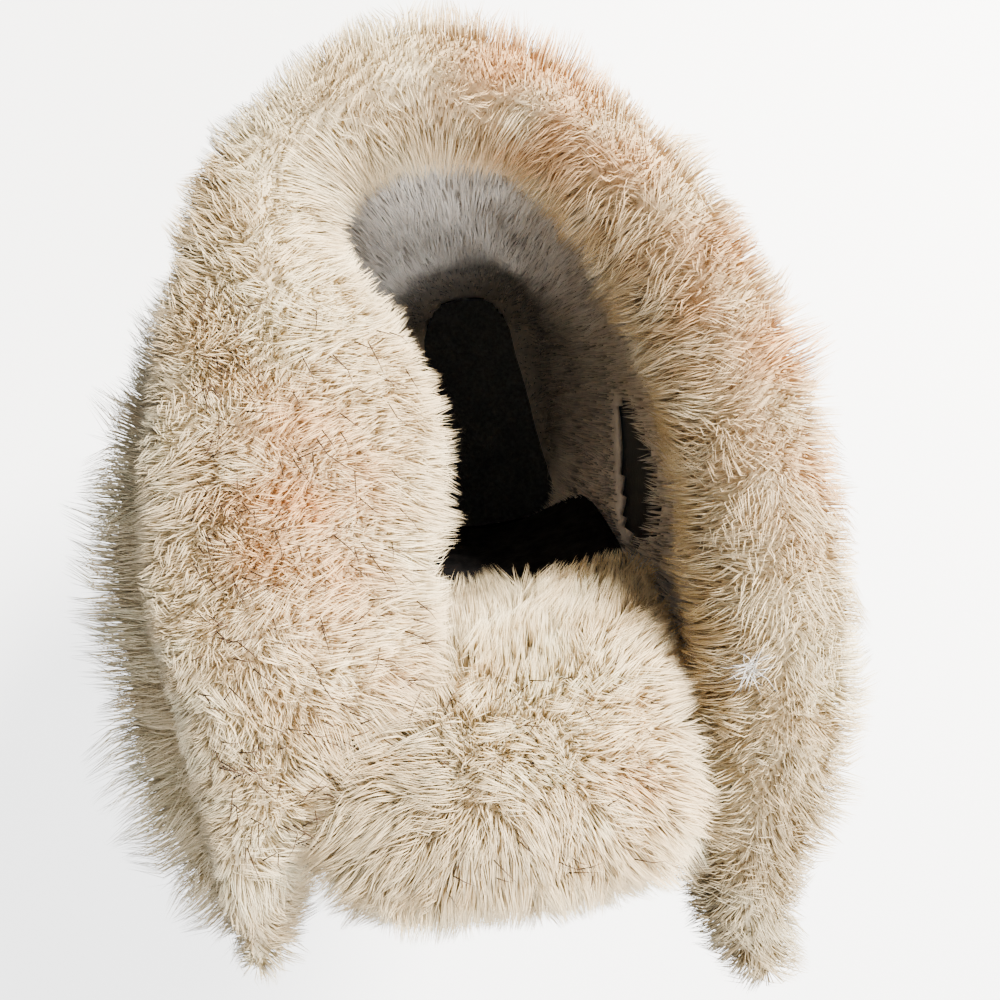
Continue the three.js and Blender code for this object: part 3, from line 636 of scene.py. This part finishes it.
CUFF_LUMPS, LUMP_SHARE = 14, 0.07  # how many lumps lie along the cuff, and how far they swell it
CUFF_OUTSIDE, CUFF_CLEAR = 5.6, 4.5  # up to this point of its section the skin stays this far off the shaft


def shaft_point(turn, drop, out):
    """A point beside the shaft: at a drop below the rim, straight above it, and out from the shaft's face."""
    along = last_point(RIM, turn + ROUND) - last_point(RIM, turn - ROUND)
    outward = unit(np.stack([-along[..., 1], along[..., 0], 0 * along[..., 0]], -1))
    point = last_point(RIM - np.maximum(drop, 0) / CUFF_ROW_DROP, turn) + outward * out[..., None]
    point[..., 2] += np.maximum(-drop, 0)
    return point


def cuff_point(u, v):
    """The cuff's skin: u goes from the outer front end round the back to the inner one, and v round its
    section, a closed curve up the skirt, over the roll and down inside. Past its ends it closes to a round."""
    u, v = np.broadcast_arrays(np.asarray(u, float), np.asarray(v, float))
    within = np.clip(u, 0, 1)
    columns = np.moveaxis(through(CUFF, within * (len(CUFF) - 1)), -1, 0)
    turn, roll_in, roll_up, roll_out, crease, skirt, drop, forward, aside, sink = columns
    even = 0 * drop
    profile = np.stack([np.stack(pair, -1) for pair in (
        (drop - 4, even + 2), (drop, 0.6 * skirt), (0.74 * drop, skirt),
        (0.5 * drop, 0.6 * skirt + 0.4 * crease), (0.3 * drop, crease), (even + 5, roll_out),
        (-0.7 * roll_up, 0.7 * roll_out), (-roll_up, -0.2 * roll_in), (-0.9 * roll_up, -0.6 * roll_in),
        (-0.1 * roll_up, -WALL - roll_in), (even + 12, -WALL - 0.9 * roll_in),
        (even + 22, -WALL - 0.5 * roll_in), (even + CUFF_LINED, even - WALL - 2),
    )], -2)
    count = profile.shape[-2]
    place = (v % 1) * count
    first = np.floor(place).astype(int)
    f = (place - first)[..., None]
    take = lambda k: np.take_along_axis(profile, ((first + k) % count)[..., None, None], -2)[..., 0, :]
    a, b, c, d = take(-1), take(0), take(1), take(2)
    section = b + f / 2 * (c - a + f * (2 * a - 5 * b + 4 * c - d + f * (3 * (b - c) + d - a)))
    past = np.clip(np.maximum(-u, u - 1) / CUFF_END, 0, 1)
    middle = profile.mean(-2)
    around = np.stack([CUFF_LUMPS * u, np.cos(2 * math.pi * v), np.sin(2 * math.pi * v)], -1)
    section = middle + (1 + LUMP_SHARE * ripple(around, 1.7, 3))[..., None] * (section - middle)
    outside = (v % 1) * count < CUFF_OUTSIDE
    section[..., 1] = np.where(outside, np.maximum(section[..., 1], CUFF_CLEAR), section[..., 1])
    section = middle + np.sqrt(1 - past**2)[..., None] * (section - middle)
    reach = np.stack([np.sign(turn) * aside, -forward - CUFF_END_REACH * past, -sink], -1)
    return shaft_point(np.radians(turn), section[..., 0], section[..., 1]) + reach


cuff_u = np.linspace(-CUFF_END, 1 + CUFF_END, CUFF_ROWS)[:, None]
cuff_points = cuff_point(cuff_u, np.arange(CUFF_COLUMNS)[None, :] / CUFF_COLUMNS)
cuff = new_piece("cuff_skin", cuff_points, grid_faces(CUFF_ROWS, CUFF_COLUMNS, True), fleece)
# the skin is painted darker than its fur, as shade under the hairs
paint(cuff, GROUND_SHADE * fur_tint(cuff_points.reshape(-1, 3)))
welded(cuff, faces_out=False)
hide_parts("cuff")
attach(cuff, "root")
SKIRT_TOP, ROLL_CREST, CUFF_INSIDE = 4.3 / 13, 6.0 / 13, 12.3 / 13
CREASE_AT, CREASE_WIDE, INSIDE_FADE, ROLL_EDGE = 4.3 / 13, 0.9 / 13, 2.5 / 13, 7.0 / 13
INNER_AT, INNER_WIDE = 0.78, 0.2  # the stretch of the cuff on the inner side of the foot
SHADED_OUTER_TO, SHADED_OUTER_LEG, SHADED_WALL_FROM = 0.36, 0.15, 8.3 / 13  # the outer side, its front leg and the inside of the roll, darkened by painted shade
BACK_AT, BACK_WIDE = 0.42, 0.15


def cuff_lean(root, u, v, along, across):
    """Fur hangs down the skirt, parts on the crest of the roll, and lies over it to the inside."""
    return (0.75 * np.tanh((v - ROLL_CREST) * 8))[:, None] * across


def cuff_short(root, u, v):
    """Fur is short in the crease, and on the inner side up to the edge of the roll. It fades to the lining, and
    is a little shorter at the back."""
    inner = np.exp(-(((u - INNER_AT) / INNER_WIDE) ** 4))
    crease = 1 - 0.75 * np.exp(-(((v - CREASE_AT) / CREASE_WIDE) ** 2))
    under_edge = np.clip((v - CREASE_AT + 0.05) / 0.05, 0, 1) * np.clip((ROLL_EDGE - v) / 0.06, 0, 1)
    edge = 1 - 0.55 * inner * under_edge
    inside = np.clip((CUFF_INSIDE - v) / INSIDE_FADE, 0.4, 1)
    return np.minimum(crease, edge) * inside * (1 - 0.2 * np.exp(-(((u - BACK_AT) / BACK_WIDE) ** 2)))


def cuff_tint_painted_light(points, u, v):
    """The fur's tint with painted shade and light: darker in the crease, lighter on the skirt of the inner
    side, and darker on the inside and the front leg of the outer side, where the shade falls."""
    # painted shade in the crease, on the inside of the outer side and on its front leg; painted light on the
    # inner skirt
    crease = 1 - 0.5 * np.exp(-(((v - CREASE_AT) / CREASE_WIDE) ** 2))
    skirt = 1 + 0.25 * np.clip((SKIRT_TOP - v) * 20, 0, 1) * np.exp(-(((u - INNER_AT) / INNER_WIDE) ** 2))
    wall = 1 - 0.4 * np.clip((v - SHADED_WALL_FROM) * 13, 0, 1) * np.clip((SHADED_OUTER_TO - u) * 10, 0, 1)
    leg = 1 - 0.25 * np.clip((SHADED_OUTER_LEG - u) * 20, 0, 1)
    return fur_tint(points) * (crease * skirt * wall * leg)[:, None]


GUARD_THICK, DOWN_THICK, DOWN_SHARE = 0.16, 0.19, 0.7
ROLL_LOCKS = ((13, 0.4), (6, 0.5), (2.5, 0.5))  # size and pull
CUFF_COATS = (  # name, u from, u to, v from, v to, guard hairs, their length, hairs of the down, locks
    ("skirt", -CUFF_END, 1 + CUFF_END, 0.5 / 13, SKIRT_TOP, 10000, 16, 11000, ((9, 0.65), (3.5, 0.5))),
    ("outer_roll", -CUFF_END, 0.5, SKIRT_TOP, CUFF_INSIDE, 11500, 12, 17000, ROLL_LOCKS),
    ("inner_roll", 0.5, 1 + CUFF_END, SKIRT_TOP, CUFF_INSIDE, 14500, 12, 22000, ROLL_LOCKS),
)
for number, (name, u0, u1, v0, v1, guard, length, down, locks) in enumerate(CUFF_COATS):
    area = ((u0, u1), (v0, v1))
    coat("cuff_fur_" + name, cuff_point, area, guard, length, GUARD_THICK, cuff_lean, 0.95, locks,
         shorter=cuff_short, seed=20 + 10 * number, colour=cuff_tint_painted_light)
    coat("cuff_down_" + name, cuff_point, area, down, DOWN_SHARE * length, DOWN_THICK, cuff_lean, 1.0,
         locks[1:], shorter=cuff_short, seed=25 + 10 * number, bent=False, colour=cuff_tint_painted_light)

# Loose dark hairs lie on the inner roll and on the free end of the tongue, and a white tuft is caught on the
# outer roll. They are single hairs, held by the fur.
HAIR_BROWN, TUFT_WHITE = (0.085, 0.05, 0.03), (0.93, 0.92, 0.9)
HAIR_THICK, TUFT_THICK = 0.17, 0.1
TUFT_AT, TUFT_HAIRS = np.array([54.0, -99.5, 276.0]), 46


def loose_hairs(name, surface, low, high, count, lift, length, seed):
    """Hairs scattered over a part of a surface, lifted into its fur, almost flat, each turned its own way."""
    rng = np.random.default_rng(seed)
    u, v = rng.uniform(low, high, (count, 2)).T
    along, across = (unit(surface(u + a, v + b) - surface(u, v)) for a, b in ((1e-3, 0), (0, 1e-3)))
    normal = unit(np.cross(along, across))
    turn = rng.normal(0.5, 0.7, count)[:, None]
    way = np.cos(turn) * across + np.sin(turn) * along
    long = (length * rng.uniform(0.5, 1.2, count))[:, None]
    root = surface(u, v) + lift * rng.uniform(0.7, 1.0, count)[:, None] * normal
    middle = root + 0.5 * long * unit(way + 0.45 * normal)
    tip = middle + 0.5 * long * unit(way + 0.1 * normal + 0.25 * rng.normal(size=(count, 3)))
    return strand_piece(name, root, middle, tip, HAIR_THICK, np.full((count, 3), HAIR_BROWN), fur)


loose_hairs("roll_hairs", cuff_point, (0.58, 6.9 / 13), (0.87, 8.8 / 13), 220, 8.5, 8.0, 71)
tuft_rng = np.random.default_rng(72)
tuft_way = unit(tuft_rng.normal(size=(TUFT_HAIRS, 3)) * (1.0, 0.6, 0.35) + (-0.3, 0, 0.5))
tuft_root = TUFT_AT + tuft_rng.normal(scale=0.8, size=(TUFT_HAIRS, 3))
tuft_tip = tuft_root + tuft_rng.uniform(3, 8, (TUFT_HAIRS, 1)) * tuft_way
tuft_bend = (tuft_root + tuft_tip) / 2 + tuft_rng.normal(scale=0.6, size=(TUFT_HAIRS, 3))
tuft_tint = np.full((TUFT_HAIRS, 3), TUFT_WHITE)
strand_piece("white_tuft", tuft_root, tuft_bend, tuft_tip, TUFT_THICK, tuft_tint, fur)

# The tongue is a padded flap of the same sheepskin, sewn into the throat. Its top flops forward over the
# front of the boot, with the fur out.
TONGUE = (  # y, z, half width, thickness, centre, bow of its edges to the back
    (-80, 118, 22, 9, 0, 6), (-78, 144, 29, 10, 0, 10), (-77, 170, 34, 11, 0, 12),
    (-84, 196, 37, 14, 0, 12), (-95, 220, 39, 19, 0, 11), (-106, 240, 40, 26, -2, 8),
    (-117, 254, 40, 31, -3, 6), (-128, 260, 40, 32, -4, 4), (-139, 254, 36, 26, -4, 3),
    (-147, 242, 27, 16, -4, 2),
)
TONGUE_END, TONGUE_END_REACH = 0.06, 6.0
TONGUE_ROWS, TONGUE_COLUMNS = 80, 48
TONGUE_MIDDLE = np.array([-10.0, -112.0, 250.0])
TONGUE_SHADE_FACED = 0.44  # painted shade: below this share of its length the tongue is faced with near-black felt, standing in for the shade under the flap
TONGUE_FLAT = 0.7  # power of the section's face, under 1 for a flatter one
TONGUE_SHADE_DARK, TONGUE_SHADE_LIGHT = (0.004, 0.004, 0.0045), (0.014, 0.013, 0.013)


def tongue_point(u, v):
    """The tongue's skin: u goes from its root up and over to the free edge, and v round its flat section, from
    the middle of the face towards the leg. Past its ends the section closes to a round."""
    u, v = np.broadcast_arrays(np.asarray(u, float), np.asarray(v, float))
    place = np.clip(u, 0, 1) * (len(TONGUE) - 1)
    y, z, half, thick, centre, bow = np.moveaxis(through(TONGUE, place), -1, 0)
    way = unit((through(TONGUE, place + 0.05) - through(TONGUE, place - 0.05))[..., :2])
    past = np.clip(np.maximum(-u, u - 1) / TONGUE_END, 0, 1)
    shrink = np.sqrt(1 - past**2)
    side, face = np.sin(2 * math.pi * v), np.cos(2 * math.pi * v)
    off = np.sign(face) * np.abs(face) ** TONGUE_FLAT * thick / 2 * shrink + bow * side**2
    on = np.sign(u - 0.5) * past * TONGUE_END_REACH
    return np.stack([centre + side * half * shrink, y + way[..., 1] * off + way[..., 0] * on,
                     z - way[..., 0] * off + way[..., 1] * on], -1)


# painted shade: the near-black felt on the tongue's lower part stands in for the shade in the gap under the
# flap
tongue_shade_felt = new_finish("painted_shade_tongue", 0.95, 0.05)
fibres = texture(tongue_shade_felt, "ShaderNodeTexNoise", Scale=900.0, Detail=4.0)
flecks = texture(tongue_shade_felt, "ShaderNodeTexNoise", Scale=240.0, Detail=5.0)
relief(tongue_shade_felt, fibres.outputs["Fac"], 0.7, 0.4)
colour_between(tongue_shade_felt, flecks.outputs["Fac"], ((0.35, TONGUE_SHADE_DARK), (0.7, TONGUE_SHADE_LIGHT)))


def tongue_lean(root, u, v, along, across):
    """Fur spreads out from the inner side of the flap to its edges and free end."""
    return 0.7 * unit(root - TONGUE_MIDDLE)


tongue_u = np.linspace(-TONGUE_END, 1 + TONGUE_END, TONGUE_ROWS)[:, None]
tongue_points = tongue_point(tongue_u, np.arange(TONGUE_COLUMNS)[None, :] / TONGUE_COLUMNS)
tongue = new_piece("tongue_skin", tongue_points, grid_faces(TONGUE_ROWS, TONGUE_COLUMNS, True), fleece)
tongue.data.materials.append(tongue_shade_felt)
# the faces below the furred part take the near-black felt of painted shade
shade_faced = np.repeat(tongue_u[:-1, 0] < TONGUE_SHADE_FACED, TONGUE_COLUMNS)
tongue.data.polygons.foreach_set("material_index", shade_faced.astype(np.int32))
# the skin is painted darker than its fur, as shade under the hairs
paint(tongue, GROUND_SHADE * fur_tint(tongue_points.reshape(-1, 3)))
welded(tongue, faces_out=False)
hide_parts("tongue")
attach(tongue, "root")
furred = ((TONGUE_SHADE_FACED, 1 + TONGUE_END), (-0.29, 0.29))
coat("tongue_fur", tongue_point, furred, 10000, 13, GUARD_THICK, tongue_lean, 1.0,
     ((13, 0.45), (6, 0.5), (2.5, 0.5)), seed=60)
coat("tongue_down", tongue_point, furred, 14000, 9, DOWN_THICK, tongue_lean, 1.0,
     ((6, 0.45), (2.5, 0.5)), seed=65, bent=False)
loose_hairs("tongue_hairs", tongue_point, (0.64, -0.06), (0.81, 0.16), 60, 8.5, 7.0, 73)
